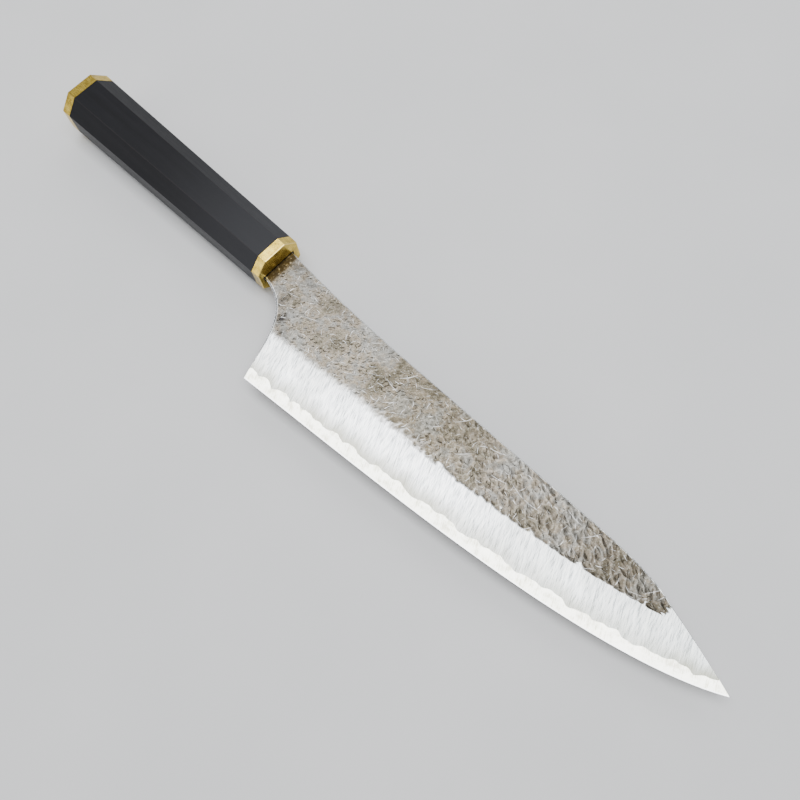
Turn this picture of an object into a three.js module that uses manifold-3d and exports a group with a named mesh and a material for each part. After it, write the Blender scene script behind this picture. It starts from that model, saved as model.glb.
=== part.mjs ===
// Chef knife with a three-layer blade and an octagonal hardwood handle between brass fittings.
// Millimetres, +Z up. The knife lies on the bottom flat of its handle: +X runs from the handle
// to the blade tip, +Y towards the spine. Shapes are drawn in the knife's own frame, whose origin
// is the middle of the ferrule's front face, and the finished knife is then laid down as a group.
import * as THREE from "three";
import { mergeVertices } from "three/addons/utils/BufferGeometryUtils.js";
import Module from "manifold-3d";

// ---- Driving dimensions ----

const HANDLE = {
  length: 127.5,
  butt: { wide: 25.7, thick: 23.1, cornerY: 6.4, cornerZ: 6.2 },
  front: { wide: 21.8, thick: 20.6, cornerY: 5.5, cornerZ: 5.3 },
};
const CAP_LENGTH = 4.8;
const FERRULE_LENGTH = 4.2;
const EDGE_BREAK = 0.35;
const JOINT_GAP = 0.05;

const DOWEL_RADIUS = 7;
const DOWEL_IN_CAP = 2.4;
const GLUE_GAP = 0.12;
const PIN_RADIUS = 0.9;
const PIN_DEPTH_IN_BRASS = 2.2;
const PIN_DEPTH_IN_WOOD = 7;
const PIN_REACH = 6.4;

const NECK = { low: -8.5, high: 7.6, halfThick: 1.45, inFerrule: 2.6 };
const TANG = { start: -4.2, end: -88, halfWide: 5.5, endHalfWide: 2.6, halfThick: 1.3, endHalfThick: 0.95 };
const TANG_SLOT = { halfWide: 5.9, halfThick: 1.6, depth: 90 };
const FERRULE_SLOT = { low: -9.1, high: 8.2, halfThick: 2.05 };
const SEAL_GAP = 0.06;
const SEAL_DEPTH = 3;

const HEEL = new THREE.Vector2(25.6, -44.3);
const TIP = new THREE.Vector2(232.7, -11.1);
const BACK_CORNER = new THREE.Vector2(201.9, -1.0);
const CORE_BAND = 4.6;
const GROUND_BEVEL = 20;
const EDGE_HALF_THICK = 0.12;
const FACE_TAPER = 0.84;
const WELD_GAP = 0.05;
const CORE_LIP = 0.12;
const CORE_HALF_THICK = { neck: 0.42, tip: 0.26 };
const SPINE_HALF_THICK = [
  { x: 0, half: 1.45 },
  { x: 30, half: 1.38 },
  { x: 130, half: 1.02 },
  { x: 195, half: 0.78 },
  { x: 233, half: 0.5 },
];

// ---- Outlines of the blade, seen from its side ----

const SPINE_FLAT = { start: new THREE.Vector2(70, 4.4), end: new THREE.Vector2(157, 4.2) };

const choil = new THREE.CubicBezierCurve(
  new THREE.Vector2(0, NECK.low),
  new THREE.Vector2(16.6, -11),
  new THREE.Vector2(19.9, -23.2),
  HEEL,
);
const cuttingEdge = new THREE.CubicBezierCurve(
  HEEL,
  new THREE.Vector2(92.5, -38.8),
  new THREE.Vector2(190, -34.4),
  TIP,
);
const spine = new THREE.CurvePath();
spine.add(new THREE.CubicBezierCurve(
  new THREE.Vector2(0, NECK.high),
  new THREE.Vector2(19.7, 5.5),
  new THREE.Vector2(42.5, 4.4),
  SPINE_FLAT.start,
));
spine.add(new THREE.LineCurve(SPINE_FLAT.start, SPINE_FLAT.end));
spine.add(new THREE.CubicBezierCurve(
  SPINE_FLAT.end,
  new THREE.Vector2(179.6, 4.3),
  new THREE.Vector2(192.6, 3.0),
  BACK_CORNER,
));
spine.add(new THREE.CubicBezierCurve(
  BACK_CORNER,
  new THREE.Vector2(211, -3.6),
  new THREE.Vector2(222, -7.2),
  TIP,
));

const CURVE_SAMPLES = 400;
const MIN_FACE_HEIGHT = 1;
const spinePoints = spine.getPoints(CURVE_SAMPLES);
const edgePoints = cuttingEdge.getPoints(CURVE_SAMPLES);

// Height of a left-to-right outline above x. Left of its first point it keeps its first slope.
function heightAt(points, x) {
  let i = points.findIndex((p) => p.x >= x);
  if (i < 0) i = points.length - 1;
  if (i < 1) i = 1;
  const [a, b] = [points[i - 1], points[i]];
  return a.y + ((b.y - a.y) * (x - a.x)) / (b.x - a.x);
}

const clamp = THREE.MathUtils.clamp;
const lerp = THREE.MathUtils.lerp;

function spineHalfThick(x) {
  const table = SPINE_HALF_THICK;
  const i = clamp(table.findIndex((row) => row.x >= x), 1, table.length - 1);
  const [a, b] = [table[i - 1], table[i]];
  return lerp(a.half, b.half, clamp((x - a.x) / (b.x - a.x), 0, 1));
}

function coreHalfThick(x) {
  return lerp(CORE_HALF_THICK.neck, CORE_HALF_THICK.tip, clamp(x / TIP.x, 0, 1));
}

// Half thickness of the blade at x and a height y: a ground bevel up from the edge, then the face.
function bladeHalfThick(x, y) {
  const above = y - heightAt(edgePoints, x);
  const atCore = coreHalfThick(x) + CORE_LIP;
  const full = spineHalfThick(x);
  const shoulder = full * FACE_TAPER;
  if (above < CORE_BAND) return lerp(EDGE_HALF_THICK, atCore, Math.max(above, 0) / CORE_BAND);
  if (above < GROUND_BEVEL) {
    return lerp(atCore, shoulder, (above - CORE_BAND) / (GROUND_BEVEL - CORE_BAND));
  }
  const top = heightAt(spinePoints, x) - heightAt(edgePoints, x);
  const faceHeight = Math.max(top - GROUND_BEVEL, MIN_FACE_HEIGHT);
  return lerp(shoulder, full, clamp((above - GROUND_BEVEL) / faceHeight, 0, 1));
}

// ---- Solids ----

// Corners closer than this are one corner. Cutters reach this far past the body that they cut.
const MERGE_DISTANCE = 1e-4;
const OVERSHOOT = 1;
const DOWEL_SIDES = 32;
const PIN_SIDES = 16;

const wasm = await Module();
wasm.setup();

function toSolid(geometry) {
  const bare = geometry.clone();
  bare.deleteAttribute("normal");
  bare.deleteAttribute("uv");
  const merged = mergeVertices(bare, MERGE_DISTANCE);
  return new wasm.Manifold(new wasm.Mesh({
    numProp: 3,
    vertProperties: new Float32Array(merged.attributes.position.array),
    triVerts: new Uint32Array(merged.index.array),
  }));
}

function toGeometry(solid) {
  const mesh = solid.getMesh();
  const geometry = new THREE.BufferGeometry();
  geometry.setAttribute("position", new THREE.BufferAttribute(new Float32Array(mesh.vertProperties), 3));
  geometry.setIndex(new THREE.BufferAttribute(new Uint32Array(mesh.triVerts), 1));
  const faceted = geometry.toNonIndexed();
  faceted.computeVertexNormals();
  return faceted;
}

function cut(geometry, ...cutters) {
  let solid = toSolid(geometry);
  for (const cutter of cutters) solid = solid.subtract(toSolid(cutter));
  return toGeometry(solid);
}

// Joins rings of equal size into one closed body. Each ring turns left seen from +X, and the rings
// follow each other towards +X.
function loft(rings) {
  const size = rings[0].length;
  const indices = [];
  for (let r = 0; r + 1 < rings.length; r++) {
    for (let i = 0; i < size; i++) {
      const a = r * size + i;
      const b = r * size + ((i + 1) % size);
      indices.push(a, b, b + size, a, b + size, a + size);
    }
  }
  const flat = (ring) => ring.map((p) => new THREE.Vector2(p.y, p.z));
  const capOf = (ring) => THREE.ShapeUtils.triangulateShape(flat(ring), []);
  for (const [a, b, c] of capOf(rings[0])) indices.push(a, c, b);
  const last = (rings.length - 1) * size;
  for (const [a, b, c] of capOf(rings.at(-1))) indices.push(last + a, last + b, last + c);
  const geometry = new THREE.BufferGeometry();
  const positions = rings.flat().flatMap((p) => [p.x, p.y, p.z]);
  geometry.setAttribute("position", new THREE.Float32BufferAttribute(positions, 3));
  geometry.setIndex(indices);
  const faceted = geometry.toNonIndexed();
  faceted.computeVertexNormals();
  return faceted;
}

function box(x0, x1, y0, y1, z0, z1) {
  return new THREE.BoxGeometry(x1 - x0, y1 - y0, z1 - z0)
    .translate((x0 + x1) / 2, (y0 + y1) / 2, (z0 + z1) / 2);
}

function rod(x0, x1, radius, sides = DOWEL_SIDES, y = 0, z = 0) {
  return new THREE.CylinderGeometry(radius, radius, x1 - x0, sides)
    .rotateZ(-Math.PI / 2)
    .translate((x0 + x1) / 2, y, z);
}

// ---- Handle ----

// The handle's octagon at x, shrunk by inset on every flat.
function octagon(x, inset = 0) {
  const t = -x / HANDLE.length;
  const blend = (key) => lerp(HANDLE.front[key], HANDLE.butt[key], t);
  const y = blend("wide") / 2 - inset;
  const z = blend("thick") / 2 - inset;
  const cy = blend("cornerY") - inset * (2 - Math.SQRT2);
  const cz = blend("cornerZ") - inset * (2 - Math.SQRT2);
  const corners = [
    [y, -z + cz], [y, z - cz], [y - cy, z], [-y + cy, z],
    [-y, z - cz], [-y, -z + cz], [-y + cy, -z], [y - cy, -z],
  ];
  return corners.map(([cornerY, cornerZ]) => new THREE.Vector3(x, cornerY, cornerZ));
}

const BUTT = -HANDLE.length;
const CAP_FRONT = BUTT + CAP_LENGTH;
const WOOD_BACK = CAP_FRONT + JOINT_GAP;
const WOOD_FRONT = -FERRULE_LENGTH - JOINT_GAP;
const DOWEL_BACK = CAP_FRONT - DOWEL_IN_CAP;
const DOWEL_FRONT = WOOD_FRONT - GLUE_GAP;

// Two pins on a diagonal of the octagon key each brass fitting to the wood.
const pinPlaces = [1, -1].map((side) => ({ y: side * PIN_REACH, z: side * PIN_REACH }));
const ferrulePin = { back: WOOD_FRONT - PIN_DEPTH_IN_WOOD, front: -FERRULE_LENGTH + PIN_DEPTH_IN_BRASS };
const capPin = { back: CAP_FRONT - PIN_DEPTH_IN_BRASS, front: WOOD_BACK + PIN_DEPTH_IN_WOOD };

function pin(span, place) {
  return rod(span.back, span.front, PIN_RADIUS, PIN_SIDES, place.y, place.z);
}

function pinHole(span, place) {
  const radius = PIN_RADIUS + GLUE_GAP;
  return rod(span.back - GLUE_GAP, span.front + GLUE_GAP, radius, PIN_SIDES, place.y, place.z);
}

function handleBody() {
  const bore = rod(WOOD_BACK - OVERSHOOT, WOOD_FRONT + OVERSHOOT, DOWEL_RADIUS + GLUE_GAP);
  const holes = pinPlaces.flatMap((place) => [pinHole(ferrulePin, place), pinHole(capPin, place)]);
  return cut(loft([octagon(WOOD_BACK), octagon(WOOD_FRONT)]), bore, ...holes);
}

function ferrule() {
  const slot = box(
    -FERRULE_LENGTH - OVERSHOOT, OVERSHOOT,
    FERRULE_SLOT.low, FERRULE_SLOT.high,
    -FERRULE_SLOT.halfThick, FERRULE_SLOT.halfThick,
  );
  const body = loft([octagon(-FERRULE_LENGTH), octagon(-EDGE_BREAK), octagon(0, EDGE_BREAK)]);
  return cut(body, slot, ...pinPlaces.map((place) => pinHole(ferrulePin, place)));
}

function buttCap() {
  const socket = rod(DOWEL_BACK - GLUE_GAP, CAP_FRONT + OVERSHOOT, DOWEL_RADIUS + GLUE_GAP);
  const body = loft([octagon(BUTT, EDGE_BREAK), octagon(BUTT + EDGE_BREAK), octagon(CAP_FRONT)]);
  return cut(body, socket, ...pinPlaces.map((place) => pinHole(capPin, place)));
}

function coreDowel() {
  const slot = box(
    DOWEL_FRONT - TANG_SLOT.depth, DOWEL_FRONT + OVERSHOOT,
    -TANG_SLOT.halfWide, TANG_SLOT.halfWide,
    -TANG_SLOT.halfThick, TANG_SLOT.halfThick,
  );
  return cut(rod(DOWEL_BACK, DOWEL_FRONT, DOWEL_RADIUS), slot);
}

// A frame of hard sealant that fills the ferrule's slot round the neck of the blade.
function slotSeal() {
  const front = -EDGE_BREAK;
  const back = front - SEAL_DEPTH;
  const outer = box(
    back, front,
    FERRULE_SLOT.low + SEAL_GAP, FERRULE_SLOT.high - SEAL_GAP,
    -FERRULE_SLOT.halfThick + SEAL_GAP, FERRULE_SLOT.halfThick - SEAL_GAP,
  );
  const inner = box(
    back - OVERSHOOT, front + OVERSHOOT,
    NECK.low - SEAL_GAP, NECK.high + SEAL_GAP,
    -NECK.halfThick - SEAL_GAP, NECK.halfThick + SEAL_GAP,
  );
  return cut(outer, inner);
}

// ---- Blade layers ----

const CHOIL_STEPS = 12;
const EDGE_STEPS = 34;
const TIP_BLUNT = 0.5;
const TIP_CLEARANCE = 3;
const MIN_CLADDING_HEIGHT = 1;
const SPINE_BREAK = { size: 0.3, mostOfHeight: 0.15, mostOfThickness: 0.4 };
// How high the core's shoulder and the top of the ground bevel may sit, as shares of a slice.
const CORE_SHOULDER_RANGE = { least: 0.2, most: 0.6 };
const GROUND_RANGE = { least: 0.25, most: 0.7 };

// A slice of the blade is its lower and upper outline at x, and its half thickness at a height.
const tangSlices = [TANG.end, TANG.start].map((x) => {
  const t = (x - TANG.start) / (TANG.end - TANG.start);
  const halfWide = lerp(TANG.halfWide, TANG.endHalfWide, t);
  const halfThick = lerp(TANG.halfThick, TANG.endHalfThick, t);
  return { x, low: -halfWide, high: halfWide, bandTop: -halfWide, half: () => halfThick };
});
const neckSlice = {
  x: -NECK.inFerrule,
  low: NECK.low,
  high: NECK.high,
  bandTop: NECK.low,
  half: () => NECK.halfThick,
};
function bladeSlice(point) {
  return {
    x: point.x,
    low: point.y,
    high: heightAt(spinePoints, point.x),
    bandTop: heightAt(edgePoints, point.x) + CORE_BAND,
    half: (y) => bladeHalfThick(point.x, y),
  };
}
const bluntTip = new THREE.Vector2(TIP.x - TIP_BLUNT, heightAt(edgePoints, TIP.x - TIP_BLUNT));
const bladeSlices = [
  ...choil.getSpacedPoints(CHOIL_STEPS).slice(0, -1),
  ...cuttingEdge.getSpacedPoints(EDGE_STEPS).filter((point) => point.x < TIP.x - TIP_CLEARANCE),
  bluntTip,
].map(bladeSlice);
const slices = [...tangSlices, neckSlice, ...bladeSlices];

// The hard core: flat between the claddings, ground to the cutting edge below them.
function bladeCore() {
  return loft(slices.map(({ x, low, high, bandTop, half }) => {
    const flat = coreHalfThick(x);
    const share = (part) => lerp(low, high, part);
    const shoulder = clamp(bandTop, share(CORE_SHOULDER_RANGE.least), share(CORE_SHOULDER_RANGE.most));
    const bottom = Math.min(half(low), flat);
    return [
      [low, -bottom], [shoulder, -flat], [high, -flat],
      [high, flat], [shoulder, flat], [low, bottom],
    ].map(([y, z]) => new THREE.Vector3(x, y, z));
  }));
}

// A soft cladding on one side of the core (side 1 above, -1 below). It stops short of the edge,
// so that the core shows as a band there.
function cladding(side) {
  const covered = slices
    .map((slice) => ({ ...slice, low: Math.max(slice.low, slice.bandTop) }))
    .filter((slice) => slice.high - slice.low > MIN_CLADDING_HEIGHT);
  const rings = covered.map(({ x, low, high, half }) => {
    const inner = coreHalfThick(x) + WELD_GAP;
    const eased = Math.min(
      SPINE_BREAK.size,
      SPINE_BREAK.mostOfHeight * (high - low),
      SPINE_BREAK.mostOfThickness * (half(high) - inner),
    );
    const top = high - eased;
    const share = (part) => lerp(low, high, part);
    const bevelTop = heightAt(edgePoints, x) + GROUND_BEVEL;
    const ground = clamp(bevelTop, share(GROUND_RANGE.least), share(GROUND_RANGE.most));
    const outer = [low, (low + ground) / 2, ground, (ground + top) / 2, top];
    const ring = [
      [low, inner],
      [high, inner],
      [high, half(high) - eased],
      ...outer.reverse().map((y) => [y, half(y)]),
    ];
    const points = ring.map(([y, z]) => new THREE.Vector3(x, y, side * z));
    return side > 0 ? points : points.reverse();
  });
  return loft(rings);
}

// ---- Assembly ----

const steel = (color, roughness) => new THREE.MeshStandardMaterial({ color, roughness, metalness: 1 });
const materials = {
  core: steel(0xdcdad2, 0.24),
  cladding: steel(0x9a958c, 0.42),
  brass: new THREE.MeshStandardMaterial({ color: 0xb8964a, roughness: 0.28, metalness: 1 }),
  ebony: new THREE.MeshStandardMaterial({ color: 0x17161a, roughness: 0.38, metalness: 0 }),
  dowel: new THREE.MeshStandardMaterial({ color: 0xb08a5a, roughness: 0.7, metalness: 0 }),
  sealant: new THREE.MeshStandardMaterial({ color: 0x14110f, roughness: 0.5, metalness: 0 }),
};

const knife = new THREE.Group();

function addPiece(name, geometry, material) {
  const mesh = new THREE.Mesh(geometry, material.clone());
  mesh.name = name;
  knife.add(mesh);
}

addPiece("blade_core", bladeCore(), materials.core);
addPiece("cladding_upper", cladding(1), materials.cladding);
addPiece("cladding_lower", cladding(-1), materials.cladding);
addPiece("ferrule", ferrule(), materials.brass);
addPiece("slot_seal", slotSeal(), materials.sealant);
addPiece("handle_body", handleBody(), materials.ebony);
addPiece("core_dowel", coreDowel(), materials.dowel);
addPiece("butt_cap", buttCap(), materials.brass);
pinPlaces.forEach((place, i) => {
  addPiece(`ferrule_pin_${i + 1}`, pin(ferrulePin, place), materials.brass);
  addPiece(`cap_pin_${i + 1}`, pin(capPin, place), materials.brass);
});

// Laid down: the taper of the bottom flat tips the handle's axis nose-down, and the origin is
// under the middle of the knife, on the surface that it lies on.
knife.rotation.y = Math.atan((HANDLE.butt.thick - HANDLE.front.thick) / 2 / HANDLE.length);
knife.updateMatrixWorld(true);
const bounds = new THREE.Box3().setFromObject(knife, true);
const middle = bounds.getCenter(new THREE.Vector3());
knife.position.set(-middle.x, -middle.y, -bounds.min.z);

const root = new THREE.Group();
root.add(knife);

export default root;
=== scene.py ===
import math

import bpy
import numpy as np
from mathutils import Matrix, Vector


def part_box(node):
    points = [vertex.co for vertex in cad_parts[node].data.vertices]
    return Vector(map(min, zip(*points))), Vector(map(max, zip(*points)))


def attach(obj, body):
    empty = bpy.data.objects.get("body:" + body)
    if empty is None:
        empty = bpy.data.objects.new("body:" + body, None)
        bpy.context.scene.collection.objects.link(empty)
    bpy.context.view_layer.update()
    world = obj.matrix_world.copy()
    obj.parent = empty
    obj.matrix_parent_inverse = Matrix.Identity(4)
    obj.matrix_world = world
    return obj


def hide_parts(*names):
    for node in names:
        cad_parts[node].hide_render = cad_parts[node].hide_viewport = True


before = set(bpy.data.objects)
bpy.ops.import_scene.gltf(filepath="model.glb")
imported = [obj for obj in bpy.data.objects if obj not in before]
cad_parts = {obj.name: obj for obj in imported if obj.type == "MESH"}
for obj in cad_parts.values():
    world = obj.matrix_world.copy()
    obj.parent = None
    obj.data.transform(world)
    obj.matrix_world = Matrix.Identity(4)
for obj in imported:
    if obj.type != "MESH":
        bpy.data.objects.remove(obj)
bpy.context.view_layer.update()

# Sizes are in millimetres, in the knife's own frame: origin in the middle of the ferrule's front
# face, +X to the tip, +Y to the spine, +Z out of the upper side.

MM = 0.001

HANDLE_LENGTH = 127.5
BUTT_SECTION = {"wide": 25.7, "thick": 23.1, "corner_y": 6.4, "corner_z": 6.2}
FRONT_SECTION = {"wide": 21.8, "thick": 20.6, "corner_y": 5.5, "corner_z": 5.3}
CAP_LENGTH = 4.8
FERRULE_LENGTH = 4.2
CAD_END_BREAK = 0.35
JOINT_GAP = 0.05
BRASS_ARRIS = 0.22
WOOD_ARRIS = 0.3
ARRIS_STEPS = 4
BRASS_END_BREAK = 0.32
BRASS_END_STEP = 0.3
WOOD_END_BREAK = 0.14
SLOT = {"low": -9.1, "high": 8.2, "half": 2.05}
SLOT_OVERSHOOT = 1.0

NECK = {"low": -8.5, "high": 7.6, "start": -2.4}
HEEL = (25.6, -44.3)
TIP = (232.7, -11.1)
BACK_CORNER = (201.9, -1.0)
CORE_BAND = 4.6
GROUND_BEVEL = 20.0
EDGE_HALF = 0.03
FACE_TAPER = 0.84
CORE_LIP = 0.12
CORE_HALF = (0.42, 0.26)
WELD_GAP = 0.02
SPINE_HALF_X = (0, 30, 130, 195, 233)
SPINE_HALF = (1.45, 1.38, 1.02, 0.78, 0.5)
MIN_FACE_HEIGHT = 8
CHOIL_ROUND = 0.75
SPINE_ROUND = 0.4
ROUNDED_SHARE = {"spine": 0.6, "choil": 0.9}
CORE_RECESS = 0.008


# ---- Outlines ----


def bezier(p0, p1, p2, p3, count=400):
    t = np.linspace(0, 1, count)[:, None]
    a, b, c, d = (np.array(p, float) for p in (p0, p1, p2, p3))
    return (1 - t) ** 3 * a + 3 * (1 - t) ** 2 * t * b + 3 * (1 - t) * t**2 * c + t**3 * d


CHOIL = bezier((0, NECK["low"]), (16.6, -11), (19.9, -23.2), HEEL)
EDGE = bezier(HEEL, (92.5, -38.8), (190, -34.4), TIP)
SPINE = np.concatenate(
    [
        bezier((0, NECK["high"]), (19.7, 5.5), (42.5, 4.4), (70, 4.4)),
        bezier((157, 4.2), (179.6, 4.3), (192.6, 3.0), BACK_CORNER),
        bezier(BACK_CORNER, (211, -3.6), (222, -7.2), TIP)[1:],
    ]
)
HEEL_SLOPE = (EDGE[1] - EDGE[0])[1] / (EDGE[1] - EDGE[0])[0]


def edge_y(x):
    """The cutting edge, carried on straight behind the heel."""
    behind = HEEL[1] + HEEL_SLOPE * (x - HEEL[0])
    return np.where(x < HEEL[0], behind, np.interp(x, EDGE[:, 0], EDGE[:, 1]))


def spine_y(x):
    return np.interp(x, SPINE[:, 0], SPINE[:, 1])


def choil_y(x):
    return np.interp(x, CHOIL[:, 0], CHOIL[:, 1])


def smooth(low, high, value):
    """0 below low, 1 above high, an S-curve between."""
    t = np.clip((value - low) / (high - low), 0, 1)
    return t * t * (3 - 2 * t)


def between(ends, share):
    """From the first end at share 0 to the second at share 1."""
    return ends[0] + (ends[1] - ends[0]) * share


# The line where the core comes out from under the cladding: cloud-like lobes at the heel, a long
# soft wave towards the tip. Lobes and teeth drift from an even pitch, so that no two are alike.
LOBE = {"start": 37.0, "pitch": 7.3, "height": 1.6, "end": (58, 90)}
LOBE_DRIFT = {"size": 1.1, "runs": (4.3, 9.1)}
LOBE_SIZES = {"middle": 0.8, "change": 0.35, "run": 5.7}
TOOTH = {"pitch": 3.1, "height": 0.55, "drift": 1.3, "drift_run": 3.7}
TOOTH_SIZES = {"middle": 0.6, "change": 0.4, "run": 7.3}
MEAN_LOBE = 0.62
WAVES = ((0.5, 23.0, 0.4), (0.42, 11.3, 2.0), (0.22, 5.1, 4.1))
FAR_LOBES = 0.25
NEAR_WAVES = 0.35


def scallops(run, pitch):
    """Arcs with a cusp between them, about as much above 0 as below it."""
    return np.abs(np.sin(np.pi * run / pitch)) - MEAN_LOBE


def varied(sizes, x, shift=0.0):
    return sizes["middle"] + sizes["change"] * np.sin(x / sizes["run"] + shift)


def weld_y(x):
    drift = sum(LOBE_DRIFT["size"] * np.sin(x / run) for run in LOBE_DRIFT["runs"])
    run = x - LOBE["start"] + drift
    lobes = LOBE["height"] * varied(LOBE_SIZES, x, 1) * scallops(run, LOBE["pitch"])
    teeth = scallops(x + TOOTH["drift"] * np.sin(x / TOOTH["drift_run"]), TOOTH["pitch"])
    lobes = lobes + TOOTH["height"] * varied(TOOTH_SIZES, x) * teeth
    waves = sum(size * np.sin(2 * np.pi * x / pitch + shift) for size, pitch, shift in WAVES)
    far = smooth(*LOBE["end"], x)
    lobes = lobes * between((1, FAR_LOBES), far)
    waves = waves * between((NEAR_WAVES, 1), far)
    return edge_y(x) + CORE_BAND + lobes + waves


def core_half(x):
    return np.interp(x, (0, TIP[0]), CORE_HALF)


def spine_half(x):
    return np.interp(x, SPINE_HALF_X, SPINE_HALF)


def ground_half(x, y):
    """Half thickness of the ground bevel, carried on above its top."""
    above = y - edge_y(x)
    at_core = core_half(x) + CORE_LIP
    shoulder = spine_half(x) * FACE_TAPER
    band = EDGE_HALF + (at_core - EDGE_HALF) * above / CORE_BAND
    bevel = at_core + (shoulder - at_core) * (above - CORE_BAND) / (GROUND_BEVEL - CORE_BAND)
    return np.where(above < CORE_BAND, band, bevel)


def face_half(x, y):
    """Half thickness of the forged face, carried on below the top of the bevel."""
    above = y - edge_y(x)
    full = spine_half(x)
    top = np.maximum(spine_y(x) - edge_y(x) - GROUND_BEVEL, MIN_FACE_HEIGHT)
    return full * FACE_TAPER + full * (1 - FACE_TAPER) * np.maximum(above - GROUND_BEVEL, 0) / top


def full_face(x):
    """Lifts the forged face off the bevel past the back corner, where the blade is all ground."""
    return smooth(*FORGED_END, x)


def dark_spots_and_choil_reflection(x, y):
    """Dark spots beside the choil and the spine, as overlapping soft spots. Those beside the choil
    are a painted dark reflection.
    """
    out = np.zeros(x.shape)
    for spot_x, spot_y, wide, high, strength in DARK_SPOTS_AND_CHOIL_REFLECTION:
        away = ((x - spot_x) / wide) ** 2 + ((y - spot_y) / high) ** 2
        out = np.maximum(out, strength * np.exp(-away))
    return out


# ---- Hammer marks ----

# The strikes are fine, shallow and round near the handle, and wide, deep and long near the tip.
# Pairs are the values near the handle and near the tip.
PITCH = (2.1, 3.1)
PITCH_CHANGE = (60, 150)
ROW_PITCH = 0.87
STRIKE_RANGE = {"x_end": 232, "above_edge": 8, "y_end": 10}
STRIKE_JITTER = 0.24
STRIKE_SIZES = (0.85, 1.2)
DEPTH = (0.034, 0.2)
DEPTH_SIZES = (0.6, 1.3)
DENT_REACH = 0.8
DENT_LONG = (1.4, 1.7)
DENT_NARROW = (0.8, 0.68)
NEAR_TURN, FAR_TURN, TURN_SPREAD = math.radians(51), math.radians(-50), 0.38
DENT_TILT = (0.012, 0.07)
DENT_FADE = (2.6, 0.2)
SEARCH_REACH = 1.5 * PITCH[1]
DEEPEST = 2 * DEPTH[1]
CREST = (0.012, 0.03)
CREST_BLUR = 3

# The strip at the ferrule, coloured with a painted reflection of the brass, the ragged end of the
# forged skin at the back corner, and the border between the skin and the ground bevel: soft near
# the handle, crisp near the tip. Across FILLED_RANGE the skin closes up above a line FILLED_FROM
# past the top of the bevel.
STRIP_END = 3.6
STRIP_FADE = 0.5
STRIP_DENT_FADE = 0.8
FORGED_END = (200.0, 201.2)
RAGGED = ((0.7, 2.3), (0.4, 5.1))
SOFT_BORDER = (0.13, 0.02)
CRISP_RANGE = (115, 175)
FILLED_FROM = (0.1, -0.7)
FILLED_FADE = 0.7
FILLED_RANGE = (60, 105)

# Dark spots: x, y, half length, half height, strength. The four beside the choil are a painted dark
# reflection.
DARK_SPOTS_AND_CHOIL_REFLECTION = (
    (13.2, -10.8, 2.0, 4.2, 0.85),
    (18.6, -16.6, 2.2, 4.4, 1.0),
    (23.0, -20.6, 2.6, 2.4, 0.8),
    (28.0, -24.0, 2.4, 2.0, 0.5),
    (6.7, 4.0, 3.2, 1.8, 0.8),
    (16.0, 2.4, 4.5, 2.0, 0.5),
    (36.0, 2.2, 6.0, 1.8, 0.35),
    (60.0, 2.4, 7.0, 1.8, 0.35),
)


def strikes(rng):
    """Centres, depths, reaches along and across, tilts and turns of the hammer's strikes."""
    found = []
    x = NECK["start"]
    row = 0
    while x < STRIKE_RANGE["x_end"]:
        far = float(smooth(*PITCH_CHANGE, np.array(x)))
        pitch = between(PITCH, far)
        low = float(edge_y(np.array(x))) + STRIKE_RANGE["above_edge"]
        ys = np.arange(low + (row % 2) * pitch / 2, STRIKE_RANGE["y_end"], pitch)
        jitter = rng.normal(0, STRIKE_JITTER * pitch, (len(ys), 2))
        for y, (dx, dy) in zip(ys, jitter):
            found.append((x + dx, y + dy, far, pitch * rng.uniform(*STRIKE_SIZES)))
        x += pitch * ROW_PITCH
        row += 1
    found = np.array(found)
    count = len(found)
    far = found[:, 2]
    turn = np.where(rng.random(count) < far, FAR_TURN, NEAR_TURN)
    turn = turn + rng.normal(0, TURN_SPREAD, count)
    depth = between(DEPTH, far) * rng.uniform(*DEPTH_SIZES, count)
    tilt = between(DENT_TILT, far)[:, None] * rng.normal(0, 1, (count, 2))
    reach = found[:, 3] * DENT_REACH
    long, narrow = reach * between(DENT_LONG, far), reach * between(DENT_NARROW, far)
    return found[:, :2], depth, long, narrow, tilt, turn


def blurred(values, reach):
    """A box blur over the grid, the same size as the grid."""
    out = values
    for axis in (0, 1):
        pad = [(reach, reach) if a == axis else (0, 0) for a in (0, 1)]
        total = np.cumsum(np.pad(out, pad, mode="edge"), axis=axis)
        total = np.concatenate([np.zeros_like(total.take([0], axis)), total], axis)
        width = 2 * reach + 1
        size = out.shape[axis]
        out = (total.take(range(width, width + size), axis) - total.take(range(size), axis)) / width
    return out


def hammered(x, y, rng):
    """Height of the hammered surface, 0 or less: the lowest of the overlapping bowls."""
    lowest = np.zeros(x.shape)
    made = strikes(rng)
    order = np.argsort(made[0][:, 0])
    centres, depth, long, narrow, tilt, turn = (part[order] for part in made)
    for k in range(x.shape[0]):
        near = slice(
            np.searchsorted(centres[:, 0], x[k].min() - SEARCH_REACH),
            np.searchsorted(centres[:, 0], x[k].max() + SEARCH_REACH),
        )
        dx = x[k][:, None] - centres[near, 0]
        dy = y[k][:, None] - centres[near, 1]
        along = (dx * np.cos(turn[near]) + dy * np.sin(turn[near])) / long[near]
        across = (dy * np.cos(turn[near]) - dx * np.sin(turn[near])) / narrow[near]
        inward = np.maximum(1 - along**2 - across**2, 0)
        bowl = inward * (dx * tilt[near, 0] + dy * tilt[near, 1] - depth[near])
        lowest[k] = bowl.min(axis=1)
    return np.clip(lowest, -DEEPEST, 0)


# ---- Meshes ----


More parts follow.
